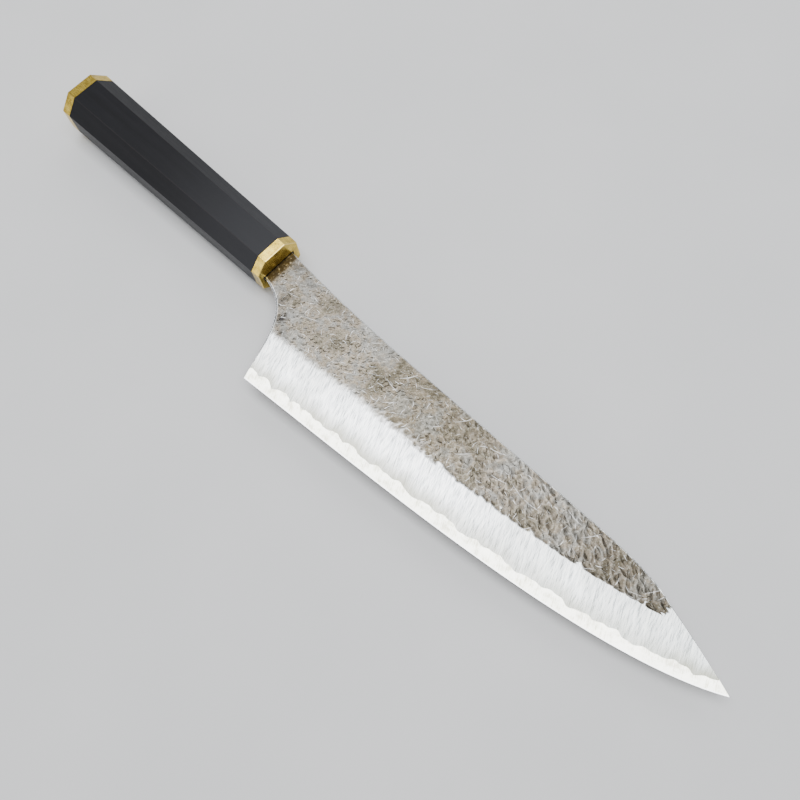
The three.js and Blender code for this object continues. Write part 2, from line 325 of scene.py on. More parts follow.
def lay_down_matrix():
    """The knife's frame to the row frame, from the handle's taper and the CAD ferrule's place."""
    drop = (BUTT_SECTION["thick"] - FRONT_SECTION["thick"]) / 2 / HANDLE_LENGTH
    turn = Matrix.Rotation(math.atan(drop), 4, "Y")
    rings = [octagon(-FERRULE_LENGTH), octagon(-CAD_END_BREAK), octagon(0, CAD_END_BREAK)]
    spots = [turn @ (Vector(p) * MM) for ring in rings for p in ring]
    low = Vector([min(p[i] for p in spots) for i in range(3)])
    high = Vector([max(p[i] for p in spots) for i in range(3)])
    cad_low, cad_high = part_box("ferrule")
    return Matrix.Translation((cad_low + cad_high - low - high) / 2) @ turn


def octagon(x, inset=0.0):
    """The handle's section at x, moved inwards by the inset."""
    t = -x / HANDLE_LENGTH
    size = {k: FRONT_SECTION[k] + (BUTT_SECTION[k] - FRONT_SECTION[k]) * t for k in FRONT_SECTION}
    y, z = size["wide"] / 2 - inset, size["thick"] / 2 - inset
    cut = inset * (2 - math.sqrt(2))
    cy, cz = size["corner_y"] - cut, size["corner_z"] - cut
    corners = [(y, -z + cz), (y, z - cz), (y - cy, z), (-y + cy, z)]
    corners += [(-y, z - cz), (-y, -z + cz), (-y + cy, -z), (y - cy, -z)]
    return [(x, a, b) for a, b in corners]


def rounded_octagon(x, inset, radius):
    """The octagon with an arc at every corner."""
    ring = octagon(x, inset)
    out = []
    for i, corner in enumerate(ring):
        here = Vector(corner[1:])
        back = (Vector(ring[i - 1][1:]) - here).normalized()
        on = (Vector(ring[(i + 1) % 8][1:]) - here).normalized()
        half = back.angle(on) / 2
        centre = here + (back + on).normalized() * (radius / math.sin(half))
        start = here + back * (radius / math.tan(half)) - centre
        sweep = math.pi - 2 * half
        for k in range(ARRIS_STEPS + 1):
            spoke = start.copy()
            spoke.rotate(Matrix.Rotation(sweep * k / ARRIS_STEPS, 2))
            out.append((x, centre.x + spoke.x, centre.y + spoke.y))
    return out


def store(mesh, domain, values):
    for key, array in (values or {}).items():
        attribute = mesh.attributes.new(key, "FLOAT", domain)
        attribute.data.foreach_set("value", np.asarray(array, np.float32))


def make(name, points, faces, place, smooth_faces=None, values=None, face_values=None):
    """A mesh object from points in millimetres of the knife's own frame."""
    mesh = bpy.data.meshes.new(name)
    mesh.from_pydata(np.asarray(points, float).reshape(-1, 3) * MM, [], faces)
    mesh.transform(place)
    store(mesh, "POINT", values)
    store(mesh, "FACE", face_values)
    if smooth_faces is not None:
        mesh.polygons.foreach_set("use_smooth", smooth_faces)
        edge_of_corner = np.zeros(len(mesh.loops), np.int32)
        mesh.loops.foreach_get("edge_index", edge_of_corner)
        corners = np.zeros(len(mesh.polygons), np.int32)
        mesh.polygons.foreach_get("loop_total", corners)
        sharp = np.zeros(len(mesh.edges), bool)
        sharp[edge_of_corner[np.repeat(~smooth_faces, corners)]] = True
        mesh.edges.foreach_set("use_edge_sharp", sharp)
    mesh.update()
    obj = bpy.data.objects.new(name, mesh)
    bpy.context.scene.collection.objects.link(obj)
    return obj


def loft(rings):
    """Faces of a closed body through equal rings, which turn left seen from +X and go to +X."""
    size = len(rings[0])
    faces = []
    for r in range(len(rings) - 1):
        for i in range(size):
            a, b = r * size + i, r * size + (i + 1) % size
            faces.append((a, b, b + size, a + size))
    faces.append(tuple(range(size))[::-1])
    last = (len(rings) - 1) * size
    faces.append(tuple(range(last, last + size)))
    return faces


def octagonal_body(name, stations, radius, place):
    """A piece of the handle: rounded octagons at (x, inset) stations. Arrises carry the value 1."""
    rings = [rounded_octagon(x, inset, radius) for x, inset in stations]
    size = len(rings[0])
    faces = loft(rings)
    on_arris = [(i % (ARRIS_STEPS + 1)) < ARRIS_STEPS for i in range(size)]
    worn = []
    for r in range(len(stations) - 1):
        end = stations[r][1] != stations[r + 1][1]
        worn += [1.0 if end or arris else 0.0 for arris in on_arris]
    worn += [0.0, 0.0]
    return make(name, np.array(rings), faces, place, face_values={"arris": worn})


def cut_slot(obj, place):
    """Cuts the ferrule's slot for the blade."""
    low, high, half = SLOT["low"], SLOT["high"], SLOT["half"]
    ring = [(high, -half), (high, half), (low, half), (low, -half)]
    ends = (-FERRULE_LENGTH - SLOT_OVERSHOOT, SLOT_OVERSHOOT)
    rings = [[(x, y, z) for y, z in ring] for x in ends]
    cutter = make("slot_cutter", np.array(rings), loft(rings), place)
    boolean = obj.modifiers.new("slot", "BOOLEAN")
    boolean.object = cutter
    boolean.solver = "EXACT"
    graph = bpy.context.evaluated_depsgraph_get()
    cut = bpy.data.meshes.new_from_object(obj.evaluated_get(graph))
    obj.modifiers.clear()
    obj.data = cut
    bpy.data.objects.remove(cutter)


NECK_COLUMNS = 7
LINE_SAMPLES = 2000
MIN_CLADDING_HEIGHT = 0.35


def columns(choil_count, line_count):
    """x and lower outline of the cladding's columns: along the neck, the choil, the weld line."""
    neck_x = np.linspace(NECK["start"], 0, NECK_COLUMNS)[:-1]
    crossing = CHOIL[np.argmax(CHOIL[:, 1] < weld_y(CHOIL[:, 0])), 0]
    part = CHOIL[CHOIL[:, 0] <= crossing]
    run = np.concatenate([[0], np.cumsum(np.hypot(*np.diff(part, axis=0).T))])
    choil_x = np.interp(np.linspace(0, run[-1], choil_count), run, part[:, 0])
    line = np.linspace(crossing, TIP[0], LINE_SAMPLES)
    end = line[np.argmax(spine_y(line) - weld_y(line) < MIN_CLADDING_HEIGHT)]
    line_x = np.linspace(crossing, end, line_count)[1:]
    x = np.concatenate([neck_x, choil_x, line_x])
    return x, np.where(x < 0, NECK["low"], np.where(x < crossing, choil_y(x), weld_y(x)))


def round_off(distance, radius):
    """How far a rounded border drops at a distance from it."""
    inside = np.clip(1 - distance / np.maximum(radius, 1e-6), 0, 1)
    return radius * (1 - np.sqrt(1 - inside**2))


CHOIL_REACH = 6
FAR_FROM_CHOIL = 50.0


def choil_distance(x, y):
    """Distance from the choil and the underside of the neck, only worked out near them."""
    samples = np.concatenate([[(NECK["start"] - 1, NECK["low"])], CHOIL[::4]])
    out = np.full(x.shape, FAR_FROM_CHOIL)
    for k in range(x.shape[0]):
        if x[k].min() < HEEL[0] + CHOIL_REACH:
            gap = np.hypot(x[k][:, None] - samples[:, 0], y[k][:, None] - samples[:, 1])
            out[k] = gap.min(axis=1)
            if x[k].min() < 0:
                out[k] = y[k] - NECK["low"]
    return out


# Rows of the cladding: coarse on the bevel, fine from just below its top, closest at the spine.
FINE_FROM = {"below_bevel": 3.5, "least": 0.12, "most": 0.7}
SPINE_ROWS = (0.55, 0.42, 0.31, 0.21, 0.13, 0.07, 0.025, 0.0)
MIN_ROOM = 0.01
MIN_CLADDING = 0.005


def cladding(name, side, choil_count, line_count, bevel_rows, face_rows, place, rng):
    """One side's soft steel. Side is 1 for the upper and -1 for the lower one."""
    x_line, low = columns(choil_count, line_count)
    high = spine_y(x_line)
    height = high - low
    middle = edge_y(x_line) + GROUND_BEVEL - FINE_FROM["below_bevel"]
    middle = np.clip(middle, low + FINE_FROM["least"] * height, low + FINE_FROM["most"] * height)
    break_rows = np.minimum(1, (high - middle) / 2)[:, None] * np.array(SPINE_ROWS)
    top = high - break_rows[:, 0]
    first = np.linspace(0, 1, bevel_rows)
    second = np.linspace(0, 1, face_rows + 1)[1:-1]
    y = np.concatenate(
        [
            low[:, None] + (middle - low)[:, None] * first,
            middle[:, None] + (top - middle)[:, None] * second,
            high[:, None] - break_rows,
        ],
        1,
    )
    x = np.repeat(x_line[:, None], y.shape[1], 1)

    above = y - edge_y(x)
    far = smooth(*PITCH_CHANGE, x)
    dents = hammered(x, y, rng)
    dents = dents * smooth(STRIP_END - STRIP_DENT_FADE, STRIP_END + STRIP_DENT_FADE, x)
    dents = dents * smooth(GROUND_BEVEL - DENT_FADE[0], GROUND_BEVEL - DENT_FADE[1], above)
    ragged = x + sum(size * np.sin(rate * y) for size, rate in RAGGED)
    forged = face_half(x, y) + dents + full_face(ragged)
    ground = ground_half(x, y)
    z = np.minimum(forged, ground)
    crisp = smooth(*CRISP_RANGE, x)
    mask = smooth(0.0, between(SOFT_BORDER, crisp), ground - forged)
    filled = above - GROUND_BEVEL - between(FILLED_FROM, crisp)
    mask = np.maximum(mask, smooth(0.0, FILLED_FADE, filled) * smooth(*FILLED_RANGE, x))
    mask = mask * (1 - smooth(*FORGED_END, ragged))
    strip = 1 - smooth(STRIP_END - STRIP_FADE, STRIP_END + STRIP_FADE, x)
    crest = (dents - blurred(dents, CREST_BLUR)) / between(CREST, far)
    inner = core_half(x_line) + WELD_GAP
    room = np.maximum(z - inner[:, None], MIN_ROOM)
    slope = np.gradient(high, x_line)
    to_spine = (high[:, None] - y) / np.sqrt(1 + slope[:, None] ** 2)
    z = z - round_off(to_spine, np.minimum(SPINE_ROUND, ROUNDED_SHARE["spine"] * room))
    to_choil = choil_distance(x, y)
    z = z - round_off(to_choil, np.minimum(CHOIL_ROUND, ROUNDED_SHARE["choil"] * room))
    z = np.maximum(z, inner[:, None] + MIN_CLADDING)

    n, m = y.shape
    grid = np.stack([x, y, side * z], -1).reshape(-1, 3)
    floor_low = np.stack([x_line, low, side * inner], -1)
    floor_high = np.stack([x_line, high, side * inner], -1)
    points = np.concatenate([grid, floor_low, floor_high])
    at = np.arange(n * m).reshape(n, m)
    lows = n * m + np.arange(n)
    highs = lows + n
    outer = np.stack([at[:-1, :-1], at[1:, :-1], at[1:, 1:], at[:-1, 1:]], -1).reshape(-1, 4)
    rim_low = np.stack([lows[:-1], lows[1:], at[1:, 0], at[:-1, 0]], -1)
    rim_high = np.stack([at[:-1, -1], at[1:, -1], highs[1:], highs[:-1]], -1)
    under = np.stack([highs[:-1], highs[1:], lows[1:], lows[:-1]], -1)
    quads = np.concatenate([outer, rim_low, rim_high, under])
    if side < 0:
        quads = quads[:, ::-1]
    faces = quads.tolist()
    back_end = [int(lows[0]), *at[0].tolist(), int(highs[0])]
    front_end = [int(highs[-1]), *at[-1].tolist()[::-1], int(lows[-1])]
    faces += [back_end, front_end] if side > 0 else [back_end[::-1], front_end[::-1]]
    is_smooth = np.zeros(len(faces), bool)
    is_smooth[: len(outer)] = True

    def spread(values, fill=0.0):
        return np.concatenate([values.reshape(-1), np.full(2 * n, fill)])

    values = {
        "hammered": spread(mask),
        "crest": spread(np.clip(0.5 + 0.5 * crest, 0, 1), 0.5),
        "dark_spots_and_reflection": spread(dark_spots_and_choil_reflection(x, y)),
        "above_weld": spread(y - weld_y(x)),
        "strip": spread(strip, 1.0),
        "border": spread(np.minimum(to_choil, to_spine * 2)),
    }
    return make(name, points, faces, place, is_smooth, values)


HEEL_RUN = 24.0
CORE_COLUMNS = {"choil": 90, "line": 3, "heel": 26, "edge": 700}
BAND_ROWS = 12
TIP_MARGIN = 0.04
SEAM = {"hidden": 0.25, "least": 0.05, "below_spine": 0.02, "step": 0.01}
MIN_BAND = 0.2


def core(name, place):
    """The hard core: a bright band along the edge, a flat sheet between the claddings above it."""
    # Of the cladding's columns only the neck's and the choil's are wanted.
    x_neck, _ = columns(CORE_COLUMNS["choil"], CORE_COLUMNS["line"])
    x_neck = x_neck[x_neck < HEEL_RUN]
    choil_run = CHOIL[CHOIL[:, 0] >= HEEL_RUN]
    share = np.linspace(0, 1, CORE_COLUMNS["heel"])
    heel_x = np.interp(share, np.linspace(0, 1, len(choil_run)), choil_run[:, 0])[:-1]
    edge_x = np.linspace(HEEL[0], TIP[0] - TIP_MARGIN, CORE_COLUMNS["edge"])
    x = np.concatenate([x_neck, heel_x, edge_x])
    low = np.where(x < 0, NECK["low"], np.where(x < HEEL[0], choil_y(x), edge_y(x)))
    high = spine_y(x)
    has_band = weld_y(x) > low + MIN_BAND
    seam = np.clip(weld_y(x) + SEAM["hidden"], low + SEAM["least"], high - SEAM["below_spine"])
    part = np.linspace(0, 1, BAND_ROWS)[None, :]
    y = low[:, None] + (seam - low)[:, None] * part
    flat = core_half(x)
    z = np.where(has_band[:, None], ground_half(x[:, None], y), flat[:, None])
    z = np.maximum(z - CORE_RECESS, EDGE_HALF)
    top_flat = np.minimum(flat, ground_half(x, high))
    y_up = np.stack([seam + SEAM["step"], high], -1)
    z_up = np.stack([np.minimum(flat, z[:, -1]), top_flat], -1)
    ys = np.concatenate([y, y_up], 1)
    zs = np.concatenate([z, z_up], 1)
    n, m = ys.shape
    up = np.stack([np.repeat(x[:, None], m, 1), ys, zs], -1)
    down = up[:, ::-1] * np.array([1, 1, -1])
    # The rings turn left seen from +X.
    rings = np.concatenate([down[:, ::-1], up[:, ::-1]], 1)
    faces = loft(rings.tolist())
    side_quads = np.arange(2 * m)
    banded = side_quads <= BAND_ROWS - 2
    banded |= (side_quads >= 2 * m - BAND_ROWS) & (side_quads <= 2 * m - 2)
    is_smooth = np.concatenate([np.tile(banded, n - 1), [False, False]])
    height = ys - edge_y(x)[:, None]
    values = np.concatenate([height, height[:, ::-1]], 1).reshape(-1)
    return make(name, rings, faces, place, is_smooth, {"above_edge": values})


# ---- Materials ----

# Strokes vary in size, and bend one way or the other about the random value STRAIGHT.
STROKE_SIZES = (0.55, 1.25)
STRAIGHT = 0.4
SHARE_FADE = 0.15


class Finish:
    """A procedural material. Lengths inside it are millimetres of the row frame."""

    def __init__(self, name):
        self.material = bpy.data.materials.new(name)
        self.material.use_nodes = True
        self.tree = self.material.node_tree
        self.shader = self.tree.nodes["Principled BSDF"]
        coordinates = self.node("ShaderNodeTexCoord")
        self.mm = self.vector("SCALE", coordinates.outputs["Object"], scale=1 / MM)

    def node(self, kind, **settings):
        made = self.tree.nodes.new(kind)
        for key, value in settings.items():
            setattr(made, key, value)
        return made

    def put(self, socket, value):
        if isinstance(value, bpy.types.NodeSocket):
            self.tree.links.new(value, socket)
        else:
            socket.default_value = value

    def set(self, **values):
        for key, value in values.items():
            self.put(self.shader.inputs[key.replace("_", " ")], value)

    def vector(self, operation, a, b=(0, 0, 0), scale=1.0):
        made = self.node("ShaderNodeVectorMath", operation=operation)
        self.put(made.inputs[0], a)
        if operation == "SCALE":
            made.inputs["Scale"].default_value = scale
        else:
            self.put(made.inputs[1], b)
        return made.outputs["Vector"]

    def math(self, operation, a, b=0.0):
        made = self.node("ShaderNodeMath", operation=operation)
        self.put(made.inputs[0], a)
        self.put(made.inputs[1], b)
        return made.outputs[0]

    def stretch(self, scale, turn=0.0, shift=(0, 0, 0)):
        """Coordinates turned about Z, then scaled."""
        made = self.node("ShaderNodeVectorRotate", rotation_type="Z_AXIS")
        self.put(made.inputs["Vector"], self.mm)
        made.inputs["Angle"].default_value = -turn
        return self.vector("MULTIPLY", self.vector("ADD", made.outputs[0], shift), scale)

    def noise(self, vector, scale=1.0, detail=3.0, rough=0.55):
        """Noise from 0 to 1, with about scale lumps to a unit of the vector."""
        made = self.node("ShaderNodeTexNoise")
        self.put(made.inputs["Vector"], vector)
        made.inputs["Scale"].default_value = scale
        made.inputs["Detail"].default_value = detail
        made.inputs["Roughness"].default_value = rough
        return made.outputs["Fac"]

    def fit(self, value, low, high, to_low=0.0, to_high=1.0):
        """An S-curve from to_low at low to to_high at high, level outside."""
        made = self.node("ShaderNodeMapRange", interpolation_type="SMOOTHSTEP")
        for i, v in enumerate((value, low, high, to_low, to_high)):
            self.put(made.inputs[i], v)
        return made.outputs[0]

    def ramp(self, value, stops):
        """The colour at a value, from (place, colour) stops."""
        made = self.node("ShaderNodeValToRGB")
        self.put(made.inputs[0], value)
        marks = made.color_ramp.elements
        while len(marks) < len(stops):
            marks.new(0.5)
        for mark, (spot, colour) in zip(marks, stops):
            mark.position = spot
            mark.color = (*colour, 1)
        return made.outputs[0]

    def mix(self, factor, a, b, blend="MIX"):
        """A colour between two colours. The node keeps its colour sockets at 6, 7 and output 2."""
        made = self.node("ShaderNodeMix", data_type="RGBA", blend_type=blend)
        self.put(made.inputs["Factor"], factor)
        self.put(made.inputs[6], a if isinstance(a, bpy.types.NodeSocket) else (*a, 1))
        self.put(made.inputs[7], b if isinstance(b, bpy.types.NodeSocket) else (*b, 1))
        return made.outputs[2]

    def blend(self, factor, a, b):
        """A value between two values. The node keeps its value sockets at 2, 3 and output 0."""
        made = self.node("ShaderNodeMix", data_type="FLOAT")
        self.put(made.inputs["Factor"], factor)
        self.put(made.inputs[2], a)
        self.put(made.inputs[3], b)
        return made.outputs[0]

    def value(self, name):
        """A value that the mesh carries."""
        return self.node("ShaderNodeAttribute", attribute_name=name).outputs["Fac"]

    def along(self):
        """Millimetres along X in the row frame."""
        split = self.node("ShaderNodeSeparateXYZ")
        self.put(split.inputs[0], self.mm)
        return split.outputs[0]

    def times(self, a, b):
        return self.math("MULTIPLY", a, b)

    def weighted(self, *parts):
        """The sum of (value, weight) pairs."""
        total = self.times(*parts[0])
        for value, weight in parts[1:]:
            total = self.math("ADD", total, self.times(value, weight))
        return total

    def moved(self, *shift):
        return self.vector("ADD", self.mm, shift)

    def bump(self, height, depth_mm, onto=None):
        made = self.node("ShaderNodeBump")
        self.put(made.inputs["Height"], height)
        made.inputs["Strength"].default_value = 1.0
        made.inputs["Distance"].default_value = depth_mm * MM
        if onto is not None:
            self.put(made.inputs["Normal"], onto)
        return made.outputs[0]

    def marks(self, pitch, length, width, turn, spread, share, shift=0.0, bow=0.0):
        """Short strokes, at most one in each cell: 1 in the middle of a stroke, 0 outside.

        Pitch, length and width are millimetres. Turns lie around turn, within spread. Share is
        the part of the cells that has a stroke, shift moves the cells and bow bends the strokes.
        """
        flat = self.vector("MULTIPLY", self.mm, (1 / pitch, 1 / pitch, 0))
        flat = self.vector("ADD", flat, (shift, -shift, 0))
        cell = self.node("ShaderNodeTexVoronoi", voronoi_dimensions="2D", feature="F1")
        self.put(cell.inputs["Vector"], flat)
        cell.inputs["Scale"].default_value = 1.0
        away = self.vector("SUBTRACT", flat, cell.outputs["Position"])
        away = self.vector("SCALE", away, scale=pitch)
        tint = self.node("ShaderNodeSeparateColor")
        self.put(tint.inputs[0], cell.outputs["Color"])
        angle = self.math("MULTIPLY_ADD", tint.outputs[0], spread)
        angle.node.inputs[2].default_value = -turn - spread / 2
        turned = self.node("ShaderNodeVectorRotate", rotation_type="Z_AXIS")
        self.put(turned.inputs["Vector"], away)
        self.put(turned.inputs["Angle"], angle)
        split = self.node("ShaderNodeSeparateXYZ")
        self.put(split.inputs[0], turned.outputs[0])
        along, across = split.outputs[0], split.outputs[1]
        size = self.fit(tint.outputs[2], 0.0, 1.0, *STROKE_SIZES)
        if bow:
            bend = self.times(self.math("SUBTRACT", tint.outputs[2], STRAIGHT), bow)
            across = self.math("SUBTRACT", across, self.times(self.times(along, along), bend))
        a = self.math("DIVIDE", along, self.times(size, length / 2))
        b = self.math("DIVIDE", across, self.times(size, width / 2))
        gap = self.math("ADD", self.times(a, a), self.times(b, b))
        stroke = self.fit(gap, 1.0, 0.1)
        chosen = self.fit(tint.outputs[1], share, share - SHARE_FADE)
        return self.times(stroke, chosen)


BRUSH_TURN = math.radians(-65)
CROSS_TURN = BRUSH_TURN - 0.28

# Tones are (place in the pattern, colour) stops.
FORGED_TONES = [
    (0.36, (0.07, 0.061, 0.042)),
    (0.44, (0.14, 0.124, 0.092)),
    (0.49, (0.205, 0.174, 0.134)),
    (0.54, (0.195, 0.185, 0.163)),
    (0.64, (0.25, 0.248, 0.234)),
]
PAINTED_BRASS_REFLECTION_TONES = [
    (0.45, (0.045, 0.036, 0.023)),
    (0.62, (0.08, 0.066, 0.044)),
    (0.7, (0.4, 0.36, 0.29)),
]
POLISHED_TONES = [
    (0.41, (0.26, 0.275, 0.285)),
    (0.49, (0.68, 0.70, 0.715)),
    (0.57, (0.98, 0.98, 0.975)),
]
CORE_TONES = [(0.4, (0.58, 0.565, 0.46)), (0.5, (0.93, 0.925, 0.82)), (0.6, (1.0, 0.99, 0.9))]
BRASS_TONES = [(0.3, (0.36, 0.25, 0.04)), (0.55, (0.66, 0.475, 0.085)), (0.75, (0.80, 0.61, 0.14))]
EBONY_TONES = [
    (0.3, (0.003, 0.003, 0.004)),
    (0.6, (0.0065, 0.0065, 0.0085)),
    (0.8, (0.017, 0.015, 0.0145)),
]
DOWEL_TONES = [(0.3, (0.30, 0.17, 0.08)), (0.7, (0.52, 0.34, 0.18))]
SEALANT_TONES = [(0.3, (0.010, 0.008, 0.006)), (0.7, (0.03, 0.024, 0.018))]
FLOOR_TONES = [(0.3, (0.62, 0.625, 0.63)), (0.7, (0.66, 0.66, 0.665))]

MIDDLE_TINT = (0.76, 0.74, 0.68)
FORGED_TIP_TINT = (0.60, 0.59, 0.56)
SCALE_DARK = (0.03, 0.026, 0.02)
SCALE_LIGHT = (0.38, 0.37, 0.345)
PIT = (0.04, 0.034, 0.026)
RIDGE = (0.36, 0.35, 0.325)
DARK_SPOT_AND_REFLECTION_TONE = (0.025, 0.024, 0.024)
TICK = (0.028, 0.024, 0.018)
BARE_SCRATCH = (0.66, 0.655, 0.64)
CLOUD_TINT = (0.6, 0.6, 0.57)
PAINTED_WELD_BAND_REFLECTION = (0.25, 0.245, 0.195)
PAINTED_TIP_REFLECTION = (0.72, 0.75, 0.73)
POLISHED_SCRATCH = (0.95, 0.95, 0.95)
HONED = (0.93, 0.93, 0.92)
WORN_BRASS = (0.88, 0.68, 0.26)
PAINTED_SHEEN_EBONY = (0.024, 0.0245, 0.028)
WORN_EBONY = (0.035, 0.033, 0.034)


def brushed(finish, fine, long, turn=BRUSH_TURN, shift=(0, 0, 0)):
    """Brush lines: fine is lines in a millimetre, long their breaks in a millimetre."""
    return finish.noise(finish.stretch((long, fine, fine), turn, shift), detail=4, rough=0.65)


def forged_colour(f, along, far, ticks, bright, small_patch):
    """Tinted scale, pitted in the dents, rubbed on their crests, and a painted reflection of the
    brass at the ferrule.
    """
    crest = f.value("crest")
    patch = f.noise(f.mm, 0.085, 4, 0.6)
    colour = f.ramp(f.weighted((patch, 0.62), (small_patch, 0.38)), FORGED_TONES)
    middle = f.times(f.fit(along, 0, 30), f.fit(along, 75, 45))
    colour = f.mix(middle, colour, MIDDLE_TINT, "MULTIPLY")
    colour = f.mix(f.fit(along, 80, 140), colour, FORGED_TIP_TINT, "MULTIPLY")
    specks = f.noise(f.moved(13, 5, 0), 1.7, 5, 0.75)
    colour = f.mix(f.fit(specks, 0.5, 0.36, 0.0, 0.55), colour, SCALE_DARK)
    colour = f.mix(f.fit(specks, 0.53, 0.68, 0.0, 0.7), colour, SCALE_LIGHT)
    colour = f.mix(f.times(f.fit(crest, 0.5, 0.1), f.blend(far, 0.22, 0.45)), colour, PIT)
    colour = f.mix(f.times(f.fit(crest, 0.7, 1.0), f.blend(far, 0.08, 0.12)), colour, RIDGE)
    # Dark spots darken the colour; those beside the choil are a painted dark reflection.
    dark_spots_and_reflection_share = f.times(f.value("dark_spots_and_reflection"), f.fit(small_patch, 0.35, 0.6, 1.0, 0.5))
    colour = f.mix(dark_spots_and_reflection_share, colour, DARK_SPOT_AND_REFLECTION_TONE)
    colour = f.mix(f.times(ticks, 0.7), colour, TICK)
    colour = f.mix(f.times(bright, 0.7), colour, BARE_SCRATCH)
    # At the ferrule's strip: a painted dark reflection of the brass, with painted glints.
    reflection_and_glint_noise = f.noise(f.moved(4, 60, 0), 0.9, 3, 0.6)
    return f.mix(f.value("strip"), colour, f.ramp(reflection_and_glint_noise, PAINTED_BRASS_REFLECTION_TONES))


def hammer_ticks(f, far):
    """Dark nicks from the hammer's corners, turned one way near the handle and another far away."""
    near_ticks = f.marks(
        pitch=1.9, length=1.9, width=0.5, turn=NEAR_TURN, spread=0.7, share=0.8, bow=0.5
    )
    far_ticks = f.marks(
        pitch=2.5, length=2.9, width=0.5, turn=FAR_TURN, spread=0.8, share=0.75, shift=3.3, bow=0.3
    )
    cross = f.marks(
        pitch=2.0, length=1.6, width=0.42, turn=0.3, spread=3.0, share=0.4, shift=7.1, bow=0.6
    )
    ticks = f.blend(far, f.math("MAXIMUM", near_ticks, cross), f.math("MAXIMUM", far_ticks, cross))
    gate = f.fit(f.noise(f.moved(9, 70, 0), 0.16, 2, 0.5), 0.38, 0.56, 0.35, 1.0)
    return f.times(ticks, gate)


def bare_scratches(f):
    """Bright scratches in the scale: short ones every way, long ones mostly along the blade."""
    short = f.marks(
        pitch=2.9, length=3.2, width=0.32, turn=0.8, spread=6.3, share=0.65, shift=11.7, bow=0.28
    )
    long = f.marks(
        pitch=7.0, length=8.0, width=0.3, turn=0.2, spread=1.6, share=0.6, shift=2.9, bow=0.06
    )
    return f.math("MAXIMUM", short, long)


def polished_colour(f, along, lines):
    """Brushed bevel, with a painted darker reflection just above the weld line and a painted
    reflection that greys it towards the tip.
    """
    cloud = f.noise(f.mm, 0.05, 2, 0.5)
    colour = f.ramp(lines, POLISHED_TONES)
    colour = f.mix(f.fit(cloud, 0.62, 0.35, 0.0, 0.5), colour, CLOUD_TINT, "MULTIPLY")
    # A painted darker reflection in a band just above the weld line.
    weld_band_reflection = f.times(f.fit(f.value("above_weld"), 8.0, -0.5), f.fit(cloud, 0.3, 0.65, 0.5, 1.0))
    colour = f.mix(f.times(weld_band_reflection, 0.9), colour, PAINTED_WELD_BAND_REFLECTION)
    # A painted reflection greys the bevel towards the tip.
    colour = f.mix(f.fit(along, 60, 170, 0.0, 0.55), colour, PAINTED_TIP_REFLECTION, "MULTIPLY")
    scratches = f.marks(
        pitch=5.0, length=9.0, width=0.1, turn=BRUSH_TURN, spread=0.25, share=0.6, shift=5.5
    )
    return f.mix(f.times(scratches, 0.6), colour, POLISHED_SCRATCH)


def cladding_steel():
    f = Finish("cladding_steel_finish")
    skin = f.value("hammered")
    along = f.along()
    far = f.fit(along, 10, 90)
    small_patch = f.noise(f.moved(50, 90, 0), 0.35, 3, 0.6)
    ticks = hammer_ticks(f, far)
    bright = bare_scratches(f)
    lines = f.weighted(
        (brushed(f, 3.4, 0.16), 0.46),
        (brushed(f, 1.1, 0.05, shift=(8, 21, 0)), 0.2),
        (brushed(f, 1.9, 0.16, CROSS_TURN, (3, 44, 0)), 0.34),
    )
    forged = forged_colour(f, along, far, ticks, bright, small_patch)
    polished = polished_colour(f, along, lines)
    rubbed = f.times(skin, f.fit(f.value("border"), 0.3, 1.1))
    forged_roughness = f.math("ADD", f.fit(small_patch, 0.3, 0.7, 0.3, 0.44), f.times(ticks, 0.12))

    scale = f.noise(f.mm, 2.2, 4, 0.6)
    height = f.math("SUBTRACT", f.times(bright, 0.45), ticks)
    height = f.math("ADD", height, f.times(scale, 0.35))
    height = f.times(height, f.times(rubbed, f.fit(f.value("strip"), 1.0, 0.0)))
    relief = f.bump(height, 0.075)
    f.set(
        Base_Color=f.mix(rubbed, polished, forged),
        Metallic=1.0,
        Roughness=f.blend(rubbed, f.fit(lines, 0.2, 0.8, 0.2, 0.32), forged_roughness),
        Normal=f.bump(f.times(lines, f.fit(skin, 0.7, 0.0)), 0.006, relief),
    )
    return f.material


def core_steel():
    f = Finish("core_steel_finish")
    lines = brushed(f, 2.6, 0.14, shift=(17, 5, 0))
    cloud = f.noise(f.mm, 0.3, 3, 0.6)
    honed = f.fit(f.value("above_edge"), 0.55, 0.35)
    f.set(
        Base_Color=f.mix(honed, f.ramp(f.weighted((lines, 0.5), (cloud, 0.5)), CORE_TONES), HONED),
        Metallic=1.0,
        Roughness=f.blend(honed, f.fit(lines, 0.2, 0.8, 0.14, 0.22), 0.12),
        Normal=f.bump(lines, 0.004),
    )
    return f.material


def brass():
    f = Finish("brass_finish")
    arris = f.value("arris")
    lines = f.noise(f.stretch((0.5, 9.0, 9.0)), detail=4, rough=0.6)
    patina = f.noise(f.mm, 0.35, 4, 0.6)
    f.set(
        Base_Color=f.mix(f.times(arris, 0.8), f.ramp(patina, BRASS_TONES), WORN_BRASS),
        Metallic=1.0,
        Roughness=f.blend(arris, f.fit(lines, 0.25, 0.75, 0.2, 0.34), 0.2),
        Normal=f.bump(lines, 0.004),
    )
    return f.material


